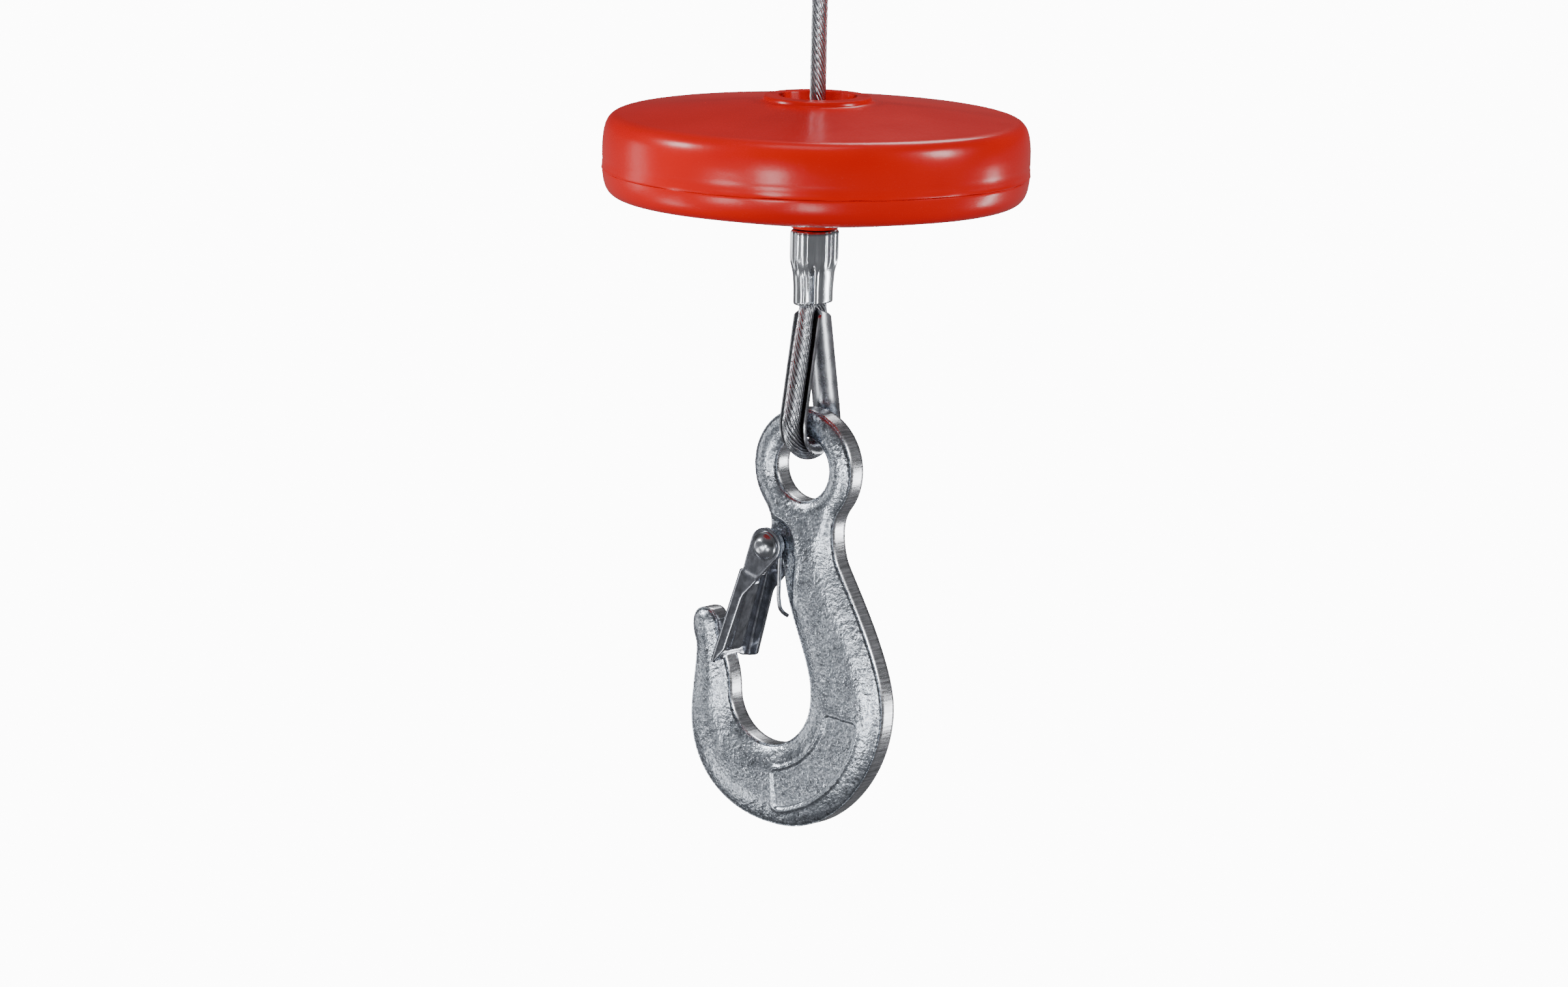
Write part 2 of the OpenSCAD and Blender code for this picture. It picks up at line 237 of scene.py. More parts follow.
def hex_grid(low, high, step):
    """Points of a triangular grid over a rectangle."""
    rows = np.arange(low[1], high[1], step * 0.866)
    out = []
    for i, z in enumerate(rows):
        x = np.arange(low[0] + (i % 2) * step / 2, high[0], step)
        out.append(np.stack([x, np.full(len(x), z)], -1))
    return np.vstack(out)


def triangulate(loops, points):
    """Triangles of the region inside the first loop and outside the others."""
    verts, edges = [], []
    for loop in loops:
        first = len(verts)
        verts += [Vector(p) for p in loop]
        edges += [(first + i, first + (i + 1) % len(loop)) for i in range(len(loop))]
    verts += [Vector(p) for p in points]
    made = delaunay_2d_cdt(verts, edges, [], 0, 1e-5)
    v = np.array([tuple(p) for p in made[0]])
    f = np.array([t for t in made[2] if len(t) == 3])
    mid = v[f].mean(1)
    keep = inside(mid, np.asarray(loops[0]))
    for hole in loops[1:]:
        keep &= ~inside(mid, np.asarray(hole))
    return v, f[keep]


def border_edges(tris):
    """The edges that only one triangle has, in the direction that triangle runs."""
    seen = {}
    for t in tris:
        for a, b in ((t[0], t[1]), (t[1], t[2]), (t[2], t[0])):
            seen[(int(a), int(b))] = True
    return [e for e in seen if (e[1], e[0]) not in seen]


# ------------------------------------------------------ materials

class Nodes:
    """Builds one node material. Positions are in metres in the object's own frame."""

    def __init__(self, name):
        self.mat = bpy.data.materials.new(name)
        self.mat.use_nodes = True
        self.tree = self.mat.node_tree
        self.shader = self.tree.nodes["Principled BSDF"]
        coord = self.tree.nodes.new("ShaderNodeTexCoord")
        self.here = coord.outputs["Object"]

    def link(self, a, b):
        """Joins an output socket to an input socket."""
        self.tree.links.new(a, b)

    def mapped(self, scale):
        """The position, stretched by a scale for each axis."""
        m = self.tree.nodes.new("ShaderNodeMapping")
        m.inputs["Scale"].default_value = scale
        self.link(self.here, m.inputs["Vector"])
        return m.outputs["Vector"]

    def noise(self, scale, detail=3.0, rough=0.5, vector=None):
        """Noise over the position, or over a stretched one. scale is features a metre."""
        n = self.tree.nodes.new("ShaderNodeTexNoise")
        n.inputs["Scale"].default_value = scale
        n.inputs["Detail"].default_value = detail
        n.inputs["Roughness"].default_value = rough
        self.link(vector or self.here, n.inputs["Vector"])
        return n.outputs["Fac"]

    def ramp(self, fac, stops):
        """A colour for each value, from (value, colour) stops."""
        r = self.tree.nodes.new("ShaderNodeValToRGB")
        e = r.color_ramp.elements
        while len(e) < len(stops):
            e.new(0.5)
        for el, (at, color) in zip(e, stops):
            el.position = at
            el.color = (*color, 1)
        self.link(fac, r.inputs["Fac"])
        return r.outputs["Color"]

    def toward(self, fac, color, other):
        """A colour socket mixed with a fixed colour."""
        m = self.tree.nodes.new("ShaderNodeMix")
        m.data_type = "RGBA"
        self.link(fac, m.inputs[0])
        self.link(color, m.inputs[6])
        m.inputs[7].default_value = (*other, 1)
        return m.outputs[2]

    def remap(self, fac, low, high, from_low=0.0, from_high=1.0):
        """Values from one range to another, held at its ends."""
        m = self.tree.nodes.new("ShaderNodeMapRange")
        m.inputs["From Min"].default_value = from_low
        m.inputs["From Max"].default_value = from_high
        m.inputs["To Min"].default_value = low
        m.inputs["To Max"].default_value = high
        self.link(fac, m.inputs["Value"])
        return m.outputs["Result"]

    def bump(self, height, strength, depth, after=None):
        """A bump normal, depth in metres, on top of another one if given."""
        b = self.tree.nodes.new("ShaderNodeBump")
        b.inputs["Strength"].default_value = strength
        b.inputs["Distance"].default_value = depth
        self.link(height, b.inputs["Height"])
        if after:
            self.link(after, b.inputs["Normal"])
        return b.outputs["Normal"]

    def done(self, **values):
        """Gives the shader its inputs, each a socket or a fixed value."""
        for key, value in values.items():
            socket = self.shader.inputs[key.replace("_", " ")]
            if isinstance(value, bpy.types.NodeSocket):
                self.link(value, socket)
            else:
                socket.default_value = value
        return self.mat


def forged_zinc():
    """Zinc over a forged face: fine grain, darker pits."""
    m = Nodes("forged_zinc")
    grain = m.noise(1700, 2.0, 0.6)
    pits = m.noise(820, 2.0, 0.6)
    broad = m.noise(140, 3.0)
    color = m.ramp(grain, [(0.34, (0.285, 0.315, 0.362)), (0.52, (0.48, 0.525, 0.585)),
                           (0.68, (0.74, 0.79, 0.87))])
    color = m.toward(m.remap(pits, 0.7, 0.0, 0.3, 0.46), color, (0.15, 0.16, 0.18))
    normal = m.bump(pits, 0.5, 0.00035)
    normal = m.bump(grain, 0.35, 0.00013, normal)
    rough = m.remap(broad, 0.2, 0.34)
    return m.done(Base_Color=color, Metallic=1.0, Roughness=rough, Normal=normal)


def brushed(name, base, rough, scale, streaks=0.5, depth=0.00006):
    """Zinc with fine marks, stretched along the axis with the smallest scale."""
    m = Nodes(name)
    lines = m.noise(1.0, 4.0, 0.65, m.mapped(scale))
    broad = m.noise(240, 2.0)
    dark = tuple(c * (1 - streaks) for c in base)
    light = tuple(min(1.0, c * (1 + 0.35 * streaks)) for c in base)
    color = m.ramp(lines, [(0.3, dark), (0.55, base), (0.75, light)])
    color = m.toward(m.remap(broad, 0.0, 0.25, 0.45, 0.75), color, dark)
    normal = m.bump(lines, 0.5, depth)
    rough = m.remap(lines, rough, rough + 0.14)
    return m.done(Base_Color=color, Metallic=1.0, Roughness=rough, Normal=normal)


def sheet_zinc(name, base, rough, mottle=220):
    """Smooth zinc plate, mottled darker, with faint upright scratches."""
    m = Nodes(name)
    spots = m.noise(mottle, 4.0, 0.6)
    fine = m.noise(3200, 2.0)
    dark = tuple(c * 0.62 for c in base)
    color = m.ramp(spots, [(0.3, dark), (0.62, base)])
    scratch = m.noise(1.0, 3.0, 0.6, m.mapped((2600, 2600, 160)))
    normal = m.bump(fine, 0.12, 0.00004)
    normal = m.bump(scratch, 0.16, 0.00004, normal)
    rough = m.remap(spots, rough, rough + 0.16)
    return m.done(Base_Color=color, Metallic=1.0, Roughness=rough, Normal=normal)


def rope_wire():
    """Strand steel: the strands' fine wires are drawn from the map called lay."""
    m = Nodes("rope_wire")
    lay = m.tree.nodes.new("ShaderNodeUVMap")
    lay.uv_map = "lay"
    wires = m.tree.nodes.new("ShaderNodeTexWave")
    wires.bands_direction = "DIAGONAL"
    wires.inputs["Scale"].default_value = 1.0
    wires.inputs["Distortion"].default_value = 0.4
    m.link(lay.outputs["UV"], wires.inputs["Vector"])
    wear = m.noise(260, 3.0)
    band = wires.outputs["Fac"]
    color = m.ramp(band, [(0.0, (0.3, 0.31, 0.335)), (0.4, (0.5, 0.52, 0.555)),
                          (1.0, (0.66, 0.68, 0.72))])
    color = m.toward(m.remap(wear, 0.0, 0.3, 0.45, 0.7), color, (0.14, 0.145, 0.16))
    normal = m.bump(band, 0.6, 0.00003)
    rough = m.remap(wear, 0.2, 0.36)
    return m.done(Base_Color=color, Metallic=1.0, Roughness=rough, Normal=normal)


def red_plastic():
    """Glossy moulded plastic: uneven colour, a little orange peel and dust."""
    m = Nodes("red_plastic")
    cloud = m.noise(28, 3.0)
    peel = m.noise(420, 2.0)
    dust = m.noise(1600, 2.0, 0.7)
    color = m.ramp(cloud, [(0.3, (0.76, 0.003, 0.002)), (0.7, (0.87, 0.005, 0.004))])
    color = m.toward(m.remap(dust, 0.0, 0.2, 0.62, 0.8), color, (0.8, 0.07, 0.05))
    normal = m.bump(peel, 0.1, 0.00025)
    normal = m.bump(dust, 0.12, 0.00003, normal)
    rough = m.remap(cloud, 0.2, 0.29)
    return m.done(Base_Color=color, Roughness=rough, Normal=normal, Specular_IOR_Level=0.36)


def plain(name, dark, light, scale, rough, metallic=0.0, depth=0.0001):
    """A spotted finish between two colours."""
    m = Nodes(name)
    spots = m.noise(scale, 4.0, 0.6)
    color = m.ramp(spots, [(0.35, dark), (0.65, light)])
    normal = m.bump(spots, 0.3, depth)
    rough = m.remap(spots, rough, rough + 0.15)
    return m.done(Base_Color=color, Metallic=metallic, Roughness=rough, Normal=normal)


ZINC = forged_zinc()
BAND_ZINC = brushed("trimmed_band", (0.74, 0.76, 0.8), 0.2, (1700, 130, 1700))
FERRULE = brushed("ferrule_alloy", (0.7, 0.73, 0.77), 0.1, (1500, 1500, 80), 0.25, 0.00003)
SHEET = sheet_zinc("thimble_zinc", (0.56, 0.58, 0.62), 0.2)
# The gutter's inside: a darker copy of the thimble's zinc, as painted shade where the rope lies in
# it.
GROOVE_SHADE = sheet_zinc("thimble_groove_shade", (0.15, 0.156, 0.168), 0.28)
LATCH = sheet_zinc("latch_zinc", (0.4, 0.42, 0.47), 0.14, 420)
RIVET = sheet_zinc("rivet_zinc", (0.55, 0.575, 0.62), 0.17, 300)
SPRING = sheet_zinc("spring_wire", (0.5, 0.52, 0.56), 0.16, 900)
WIRE = rope_wire()
CORE = plain("rope_core", (0.012, 0.012, 0.013), (0.03, 0.03, 0.032), 900, 0.6)
RED = red_plastic()
NYLON = plain("bush_nylon", (0.012, 0.012, 0.014), (0.03, 0.03, 0.034), 600, 0.42)
IRON = plain("ballast_iron", (0.05, 0.05, 0.052), (0.12, 0.12, 0.125), 500, 0.55, 0.8, 0.0003)
STEEL = sheet_zinc("screw_zinc", (0.6, 0.62, 0.66), 0.2, 400)


# --------------------------------------------------------- camera

CAMERA_AZ = 37.0
CAMERA_EL = 7.6
CAMERA_FAR = 2300.0
CAMERA_ROLL = 1.35
CAMERA_LENS = 215.53
CAMERA_TARGET = Vector((0.0, 0.0, -46.0))
# How far the camera looks to the left of the target and below it, per unit of distance.
LOOK_LEFT = 0.0034336
LOOK_DOWN = 0.0353972


def add_camera():
    """A long lens, rolled a little, that looks left of the target and below it."""
    back = aim(CAMERA_AZ, CAMERA_EL)
    right = aim(CAMERA_AZ + 90, 0)
    up = back.cross(right)
    roll = math.radians(CAMERA_ROLL)
    right, up = (right * math.cos(roll) + up * math.sin(roll),
                 up * math.cos(roll) - right * math.sin(roll))
    ahead = (-back - right * LOOK_LEFT - up * LOOK_DOWN).normalized()
    right = (right - ahead * right.dot(ahead)).normalized()
    up = (-ahead).cross(right)
    data = bpy.data.cameras.new("camera")
    data.sensor_width = 36
    data.lens = CAMERA_LENS
    data.clip_start = 0.05
    data.clip_end = 200
    cam = bpy.data.objects.new("camera", data)
    bpy.context.scene.collection.objects.link(cam)
    place = (CAMERA_TARGET + back * CAMERA_FAR) * MM
    turn = Matrix((right, up, -ahead)).transposed().to_4x4()
    cam.matrix_world = Matrix.Translation(place) @ turn
    bpy.context.scene.camera = cam


add_camera()


# ----------------------------------------------------------- rope

# The rope's route as in the CAD, (across, height): down the loaded side, and up the dead one.
LOADED_SIDE = [
    (0, 8), (0, -2), (0, -12), (0, -22), (0, -32), (0, -42), (0, -52), (0, -62),
    (0.9, -65), (1.8, -68), (2.1, -71), (2.1, -76), (2.1, -81), (2.4, -82.4),
    (3.4, -87.6), (4.4, -92.9), (5.4, -98.1), (6.4, -103.4), (7.2, -107.6),
    (7.6, -110.4), (7, -113.3), (5.4, -115.8), (2.9, -117.4), (0, -118),
]
DEAD_SIDE = [
    (-2.9, -117.4), (-5.4, -115.8), (-7, -113.3), (-7.6, -110.4),
    (-7.2, -107.6), (-6.4, -103.4), (-5.4, -98.1), (-4.4, -92.9), (-3.4, -87.6),
    (-2.4, -82.4), (-2.1, -81), (-2.1, -76), (-2.1, -71), (-2.1, -68.6),
]
ROPE_R = 2.0
STRANDS = 14
STRAND_R = 0.35
STRAND_SIDES = 8
CORE_R = 1.42
CORE_SIDES = 12
# Length along the rope in which a strand goes once round it.
LAY_L = 23.0
# Wires round a strand, and the length along the strand from one wire to the next.
WIRES = 6
WIRE_LAY = 2.0
# The distance from one band to the next in the wave texture at a scale of 1.
BAND = 2 * math.pi / 10
SIDEWAYS = np.array([1.0, 0, 0])


def directions(line):
    """The unit direction of a line at each of its points."""
    along = np.gradient(line, axis=0)
    return along / np.linalg.norm(along, axis=1)[:, None]


def tube(path, normal, binormal, radius, sides):
    """A closed tube along a line of points, with its rings in the given directions."""
    a = np.linspace(0, 2 * math.pi, sides, endpoint=False)[None, :, None]
    ring = np.cos(a) * normal[:, None, :] + np.sin(a) * binormal[:, None, :]
    verts = (path[:, None, :] + radius * ring).reshape(-1, 3)
    return verts, capped(len(path), sides)


def loop_route(flat):
    """A line in the YZ plane, with the directions across it there and sideways of it."""
    route = np.column_stack([np.zeros(len(flat)), flat])
    along = directions(route)
    across = np.cross(SIDEWAYS, along)
    across /= np.linalg.norm(across, axis=1)[:, None]
    lengths = np.arange(len(route)) * np.linalg.norm(route[1] - route[0])
    return route, across, np.cross(along, across), lengths


def map_wires(mesh, lengths):
    """Maps each point along its strand and round it, for the wires in the material."""
    spots = np.zeros((len(mesh.vertices), 2))
    rings = len(lengths)
    per_strand = rings * STRAND_SIDES
    for k in range(STRANDS):
        mine = slice(k * per_strand, (k + 1) * per_strand)
        spots[mine, 0] = np.repeat(lengths / WIRE_LAY * BAND, STRAND_SIDES)
        spots[mine, 1] = np.tile(np.arange(STRAND_SIDES) / STRAND_SIDES * WIRES * BAND, rings)
    corners = np.zeros(len(mesh.loops), np.int32)
    mesh.loops.foreach_get("vertex_index", corners)
    uv = spots[corners]
    round_once = WIRES * BAND
    for face in mesh.polygons:
        part = uv[face.loop_start:face.loop_start + face.loop_total, 1]
        if len(part) == 4 and part.max() - part.min() > round_once / 2:
            part[part < round_once / 2] += round_once
    mesh.uv_layers.new(name="lay").data.foreach_set("uv", uv.ravel())


def make_rope():
    """Strands twisted round a dark core, along the whole route."""
    route, across, side, lengths = loop_route(spline(LOADED_SIDE + DEAD_SIDE, 0.42))
    verts, faces, marks = [], [], []

    def add(tube_mesh, mark):
        """Adds one tube, with the number of its material."""
        v, f = tube_mesh
        faces.extend(tuple(i + len(verts) for i in q) for q in f)
        verts.extend(v.tolist())
        marks.extend([mark] * len(f))

    # The strands spread sideways where the rope is bent round the thimble.
    in_loop = smooth(-84, -92, route[:, 2])
    flat_out = (1 + 0.04 * in_loop)[:, None]
    side_out = (1 + 0.22 * in_loop)[:, None]
    for k in range(STRANDS):
        a = 2 * math.pi * (k / STRANDS + lengths / LAY_L)[:, None]
        offset = np.cos(a) * across - np.sin(a) * side
        spread = np.cos(a) * across * flat_out - np.sin(a) * side * side_out
        line = route + (ROPE_R - STRAND_R) * spread
        along = directions(line)
        out = offset - along * (offset * along).sum(1)[:, None]
        out /= np.linalg.norm(out, axis=1)[:, None]
        add(tube(line, out, np.cross(along, out), STRAND_R, STRAND_SIDES), 0)
    add(tube(route, across, side, CORE_R, CORE_SIDES), 1)
    obj = piece("rope_strands", verts, faces, [WIRE, CORE], 50, marks)
    attach(obj, "rope", "wire_rope")
    map_wires(obj.data, lengths)
    return obj, route


rope, rope_route = make_rope()


STOP_R = 4.0
STOP_L = 12.0


def make_stop():
    """The swaged stop: a pressed cylinder with rounded ends and two faint seams."""
    prof = round_corners([(1.9, 0), (STOP_R, 0), (STOP_R, STOP_L), (1.9, STOP_L),
                          (1.2, STOP_L - 0.3), (1.2, 0.3)], [0.2, 0.55, 0.7, 0.3, 0.1, 0.1])

    def wobble(a, r, z):
        """A seam on each side, and shallow bands left by the press."""
        seam = np.exp(-((np.sin(a)) / 0.05) ** 2) * 0.06
        waist = -0.05 * np.sin(math.pi * z / 2.4) ** 2
        return np.where(r > STOP_R - 0.6, seam - 0.06 + waist, 0), 0 * z

    verts, faces = lathe(prof, 96, wobble)
    obj = piece("swaged_stop", verts, faces, [STEEL])
    attach(obj, "rope", "drum_stop")
    return obj


stop = make_stop()


# -------------------------------------------------------- ferrule

# Marks round the ferrule: (angle in degrees, height in mm, width in degrees).
DIE_RIDGES = [
    (-133, 0.26, 6), (-92, 0.34, 6), (-60, 0.34, 5), (-13, 0.26, 5), (1, 0.26, 5), (32, 0.3, 7),
    (62, 0.3, 6), (95, 0.3, 5), (128, 0.3, 6), (168, 0.32, 6), (198, 0.3, 6),
]
DIE_TROUGHS = [
    (-110, 0.3, 8), (-76, 0.22, 7), (-36, 0.42, 13), (17, 0.3, 8), (47, 0.3, 8), (79, 0.3, 8),
    (112, 0.3, 8), (148, 0.34, 9), (183, 0.28, 8), (212, 0.25, 8),
]
LOW_GROOVES = [(-45, 1.15, 6.5), (135, 1.15, 6.5), (-75, 0.3, 6), (-20, 0.25, 5), (105, 0.3, 6)]
LOW_RIDGES = [(-54, 0.14, 3), (-35, 0.14, 3)]
FERRULE_STEPS = 216
# Heights up the ferrule's rounded ends, and how far the surface is drawn in at each.
FOOT_Z = [0, 0.0, 0.1, 0.3, 0.6]
FOOT_INSET = [3.0, 0.5, 0.22, 0.06, 0.0]
HEAD_Z = [17.9, 18.2, 18.36, 18.4, 18.4]
HEAD_INSET = [0.06, 0.2, 0.42, 0.7, 2.6]


def make_ferrule():
    """The pressed sleeve: ridges left by the die down its upper half, and a lower half
    squeezed into two lobes with a deep groove between them."""
    a = np.linspace(0, 360, FERRULE_STEPS, endpoint=False)
    rad = np.radians(a)
    wall = np.linspace(1.1, 17.5, 42)
    z = np.concatenate([FOOT_Z, wall, HEAD_Z])
    inset = np.concatenate([FOOT_INSET, np.zeros(len(wall)), HEAD_INSET])

    def bells(marks):
        """The sum of the marks' heights at each angle."""
        gaps = [((a - at + 180) % 360 - 180, h, spread) for at, h, spread in marks]
        return sum(h * np.exp(-(gap / spread) ** 2) for gap, h, spread in gaps)

    upper = bells(DIE_RIDGES) - bells(DIE_TROUGHS)
    below = bells(LOW_RIDGES) - bells(LOW_GROOVES)
    rows = []
    for level, cut in zip(z, inset):
        wide = smooth(3.0, 12.5, level)
        neck = math.exp(-((level - 7.6) / 1.6) ** 2)
        reach = 4.02 + 0.8 * wide - 0.12 * neck - cut
        reach = reach + upper * smooth(8.0, 11.5, level) + below * smooth(10.8, 7.0, level)
        apart = 1.4 + 0.2 * wide
        shift = np.clip(np.sin(rad) * 2.5, -1, 1) * apart
        slant = 0.25 * np.sin(rad + 0.6) * smooth(2.0, 0.0, level)
        rows.append(np.stack([reach * np.cos(rad), reach * np.sin(rad) + shift,
                              FERRULE_Z + level + slant], -1))
    obj = piece("pressed_ferrule", np.vstack(rows), capped(len(z), FERRULE_STEPS), [FERRULE], 60)
    attach(obj, "rope", "rope_ferrule")


make_ferrule()


# -------------------------------------------------------- thimble

# One side of the thimble's route, from its tip to its lowest point.
THIMBLE_SIDE = [
    (2.4, -82.4), (3.4, -87.6), (4.4, -92.9), (5.4, -98.1), (6.4, -103.4), (7.2, -107.6),
    (7.6, -110.4), (7.02, -113.3), (5.37, -115.77), (2.91, -117.42), (0, -118),
]
THIMBLE_T = 0.75
# Points across each side of the gutter's sheet.
GUTTER_POINTS = 29
# Its half width, depth and half opening angle in the eye, and what is added on the legs.
EYE_WIDE, LEG_WIDE = 2.6, 1.7
EYE_DEEP, LEG_DEEP = 2.25, 2.05
EYE_OPEN, LEG_OPEN = 92, -36


def make_thimble():
    """A gutter of thin sheet bent round the loop, with its open side outwards and its inside
    painted dark as shade.
    """
    other_side = [(-y, z) for y, z in THIMBLE_SIDE[-2::-1]]
    route, across, side, lengths = loop_route(spline(THIMBLE_SIDE + other_side, 0.55))
    total = lengths[-1]
    from_end = np.minimum(lengths, total - lengths)
    # Deep and narrow where it passes through the hook's eye, wide and shallow on the legs.
    on_leg = smooth(3, 12, np.abs(lengths - total / 2))
    tip_cut = 0.5 * (1 - np.sqrt(np.clip(from_end / 1.5, 0, 1)))
    rows = []
    for p, n, b, leg, cut in zip(route, across, side, on_leg, tip_cut):
        wide_r = EYE_WIDE + LEG_WIDE * leg
        deep_r = EYE_DEEP + LEG_DEEP * leg
        stop = math.radians(EYE_OPEN + LEG_OPEN * leg) - cut
        t = np.linspace(-stop, stop, GUTTER_POINTS)
        inner = np.stack([deep_r * (1 - np.cos(t)) - 2.15, wide_r * np.sin(t)], -1)
        outer = inner + THIMBLE_T * np.stack([-np.cos(t), np.sin(t)], -1)
        ahead = np.array([math.sin(stop), math.cos(stop)]) * 0.16
        lips = [(inner[-1] + outer[-1]) / 2 + ahead, (inner[0] + outer[0]) / 2 + ahead * [1, -1]]
        section = np.vstack([outer, [lips[0]], inner[::-1], [lips[1]]])
        rows.append(p + n * section[:, :1] + b * section[:, 1:])
    verts = np.array(rows)
    wide = verts.shape[1]
    faces = capped(len(route), wide)
    # The faces inside the gutter take the second, darker material: painted shade where the rope
    # lies in it.
    groove = range(GUTTER_POINTS + 1, 2 * GUTTER_POINTS)
    marks = [1 if i % wide in groove else 0 for i in range(len(faces) - 2)] + [0, 0]
    obj = piece("thimble_sheet", verts.reshape(-1, 3), faces, [SHEET, GROOVE_SHADE], 45, marks)
    attach(obj, "rope", "thimble")


make_thimble()


# ---------------------------------------------------- stop weight

WALL_R = 52.5
SHELL_STEPS = 288
# Heights of the joint between the shells, and of the collar's top.
JOINT_H = 14.0
COLLAR_H = 32.8
SCREW_R = 3.3
SCREW_FROM_AXIS = 29.0


def floor_h(r):
    """Height of the weight's underside at a radius, above its lowest point."""
    return 1.1 + (r - 5.9) * 0.144


def roof_h(r):
    """Height of the weight's upper side at a radius."""
    return 31.4 - (r - 13.4) * 0.107


def bore(obj, x, y, radius, low, high):
    """Cuts a round hole up through a piece, in millimetres."""
    a = np.linspace(0, 2 * math.pi, 48, endpoint=False)
    ring = [(x + radius * math.cos(t), y + radius * math.sin(t)) for t in a]
    verts = [(*p, low) for p in ring] + [(*p, high) for p in ring]
    mesh = bpy.data.meshes.new("tool")
    mesh.from_pydata((np.array(verts) * MM).tolist(), [], capped(2, len(ring)))
    outward(mesh)
    tool = bpy.data.objects.new("tool", mesh)
    bpy.context.scene.collection.objects.link(tool)
    cut = obj.modifiers.new("cut", "BOOLEAN")
    cut.operation = "DIFFERENCE"
    cut.solver = "EXACT"
    cut.object = tool
    apply_modifiers(obj)
    bpy.data.objects.remove(tool)


def lower_profile():
    """The lower shell's closed section: boss, shallow cone, rim and inside."""
    out = [(3.56, 0.3), (3.56, 1.5), (5.1, 1.5), (5.1, 0.12), (5.35, 0), (5.75, 0.12), (5.9, 0.5),
           (6.1, 1.05), (6.6, floor_h(6.6))]
    out += [(r, floor_h(r) - 0.25 * math.sin((r - 6) / 42 * math.pi))
            for r in np.linspace(9, 46, 14)]
    out += curve((48, floor_h(48)), (50.8, floor_h(50.8)), (52, 9.2), (WALL_R - 0.12, 13.2),
                 14).tolist()
    out += [(WALL_R - 0.1, JOINT_H - 0.4), (WALL_R - 0.15, JOINT_H - 0.14),
            (WALL_R - 0.28, JOINT_H - 0.05), (50.3, JOINT_H - 0.05), (50.2, 11.5),
            (49.6, 10.2), (46.7, 9.3), (26, 6.4), (6.6, 3.6), (6.2, 4.2), (6.2, 20.2),
            (3.56, 20.2)]
    return out


def upper_profile():
    """The upper shell's closed section: lip at the joint, rim, shallow cone, collar and inside."""
    out = [(50.3, JOINT_H), (WALL_R - 0.14, JOINT_H), (WALL_R + 0.02, JOINT_H + 0.06),
           (WALL_R + 0.12, JOINT_H + 0.24), (WALL_R + 0.05, JOINT_H + 0.5), (WALL_R, 15.0),
           (WALL_R - 0.02, 15.8), (WALL_R - 0.1, 16.4), (WALL_R - 0.02, 17.1),
           (WALL_R, 17.8), (WALL_R, 19.2), (WALL_R, 20.3)]
    out += curve((WALL_R, 20.3), (52.25, 24.9), (51.5, roof_h(51.2) + 0.15), (48, roof_h(48)),
                 18).tolist()
    out += [(r, roof_h(r) + 0.22 * math.sin((r - 14) / 34 * math.pi))
            for r in np.linspace(45, 16, 13)]
    out += [(14.4, roof_h(14.4) + 0.02), (13.75, roof_h(13.8) + 0.16), (13.5, 31.75),
            (13.36, 32.3), (13.05, 32.66), (12.6, 32.76), (11.8, 32.68), (10.7, 32.7),
            (10.0, 32.78), (9.7, COLLAR_H), (9.5, 32.6), (9.42, 32.2), (9.2, 30), (8.8, 27.8),
            (6.7, 22.6), (4.6, 20.5), (4.5, 20.3), (6.2, 20.3), (8.6, 22.8), (11, 28.9),
            (26, 27.8), (45.5, 25.8), (49.1, 24.4), (50.3, 20)]
    return out


def low_wobble(a, r, z):
    """Moulding flash at the lower shell's rim."""
    flash = 0.05 * np.sin(a * 7 + 1) + 0.05 * np.sin(a * 23)
    return np.where((r > 50) & (z > 13), flash * 0.6, 0), 0 * z


def top_wobble(a, r, z):
    """Flash at the upper shell's joint, and a rough inner lip on its collar."""
    ripple = np.sin(a * 5 + 0.7) * np.sin(a * 13) + 0.6 * np.sin(a * 31 + 2)
    flash = np.where((r > 52.3) & (z < 14.6), 0.05 * ripple, 0)
    sag = np.where((r > 52.3) & (z < 14.2), -0.08 * ripple - 0.04, 0)
    lip = np.where((r < 9.9) & (z > 31.5), 0.06 * np.sin(a * 9) * np.sin(a * 17 + 1), 0)
    return flash + lip * 0.8, sag + np.minimum(lip * 0.6, 0)


def make_shell(name, node, profile, wobble, screw_turns=()):
    """One moulded shell of the weight, with screw holes at the given turns in degrees."""
    verts, faces = lathe(profile, SHELL_STEPS, wobble)
    verts[:, 2] += DISC_Z
    obj = piece(name, verts, faces, [RED], 28)
    for turn in screw_turns:
        t = math.radians(turn)
        bore(obj, SCREW_FROM_AXIS * math.cos(t), SCREW_FROM_AXIS * math.sin(t), SCREW_R,
             DISC_Z - 2, DISC_Z + 12)
    if screw_turns:
        soften(obj.data, 35)
    attach(obj, "stop_weight", node)


make_shell("lower_shell_moulded", "lower_shell", lower_profile(), low_wobble, (30, 150, 270))
make_shell("upper_shell_moulded", "upper_shell", upper_profile(), top_wobble)


# ----------------------------------------------------------- hook

BOWL = np.array([-8.6, -57.8])
BOWL_R = 12.4
PIN = np.array([-8.25, -19.9])
HOLE_R = 8.0
EYE_R = 14.9
LUG_R = 3.9
# Half the hook's thickness: at its edge, at most, and less in the eye and at the tip.
EDGE_HALF = 2.5
BODY_HALF = 4.2
EYE_THINNER = 0.45
TIP_THINNER = 0.4
# How far in from the edge the face is still rising, less in the eye and at the tip.
RISE = 7.2
EYE_RISE_LESS = 3.7
TIP_RISE_LESS = 3.6
# The rim's side walls start a little inside the edge's half thickness.
RIM_HALF = EDGE_HALF - 0.1
RIM_STEPS = (0.1, 0.22, 0.34, 0.5, 0.8, 1.2, 1.7)
GRID = 0.72
HOOK_LOW = (-36, -93)
HOOK_HIGH = (28, 17)
